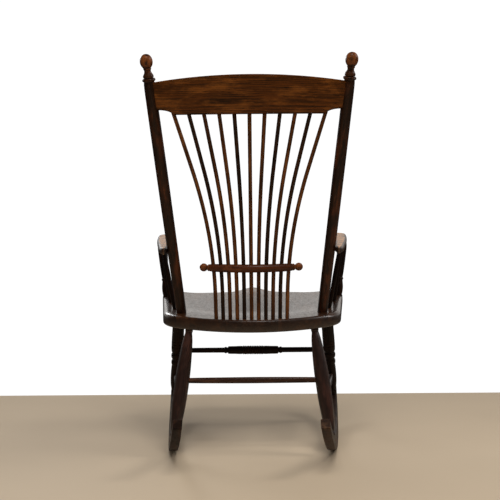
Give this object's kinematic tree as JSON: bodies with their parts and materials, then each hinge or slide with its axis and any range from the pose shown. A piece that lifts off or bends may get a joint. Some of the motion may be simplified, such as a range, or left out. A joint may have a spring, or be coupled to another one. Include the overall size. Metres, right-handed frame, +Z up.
{
  "type": "rocking chair",
  "caption": "Wooden rocking chair with a tall spindle back, ball finials, a saddled seat, flat arms, turned legs and stretchers, and curved rockers.",
  "frame": {"origin": "on the floor under the middle of the chair's bounding box, which is also where the rockers rest on the floor", "axes": "+Z up, +Y towards the back of the chair, +X towards the sitter's left"},
  "size_m": [0.5842, 0.804, 1.0864],
  "materials": {
    "seat_oak": "dark stain, satin varnish",
    "crest_oak": "medium brown stain, satin varnish",
    "red_oak": "reddish stain, satin varnish",
    "dark_oak": "near-black stain, satin varnish",
    "pin_oak": "bare worn end grain",
    "screw_steel": "dull"
  },
  "bodies": {
    "root": {"seat": "seat_oak", "crest_rail": "crest_oak", "spindle_rail": "red_oak", "back_post_left": "seat_oak", "arm_left": "seat_oak", "back_post_right": "seat_oak", "arm_right": "seat_oak", "back_spindle_1": "dark_oak", "back_spindle_2": "dark_oak", "back_spindle_3": "dark_oak", "back_spindle_4": "dark_oak", "back_spindle_5": "dark_oak", "back_spindle_6": "dark_oak", "back_spindle_7": "dark_oak", "back_spindle_8": "dark_oak", "back_spindle_9": "dark_oak", "back_spindle_10": "dark_oak", "back_spindle_11": "dark_oak", "arm_post_left": "dark_oak", "arm_spindle_left_1": "dark_oak", "arm_spindle_left_2": "dark_oak", "front_leg_left": "dark_oak", "rear_leg_left": "dark_oak", "side_stretcher_left": "dark_oak", "rocker_left": "dark_oak", "rocker_pin_front_left": "pin_oak", "rocker_pin_rear_left": "pin_oak", "arm_screw_left": "screw_steel", "arm_post_right": "dark_oak", "arm_spindle_right_1": "dark_oak", "arm_spindle_right_2": "dark_oak", "front_leg_right": "dark_oak", "rear_leg_right": "dark_oak", "side_stretcher_right": "dark_oak", "rocker_right": "dark_oak", "rocker_pin_front_right": "pin_oak", "rocker_pin_rear_right": "pin_oak", "arm_screw_right": "screw_steel", "front_stretcher": "dark_oak", "rear_stretcher": "red_oak"}
  },
  "joints": []
}
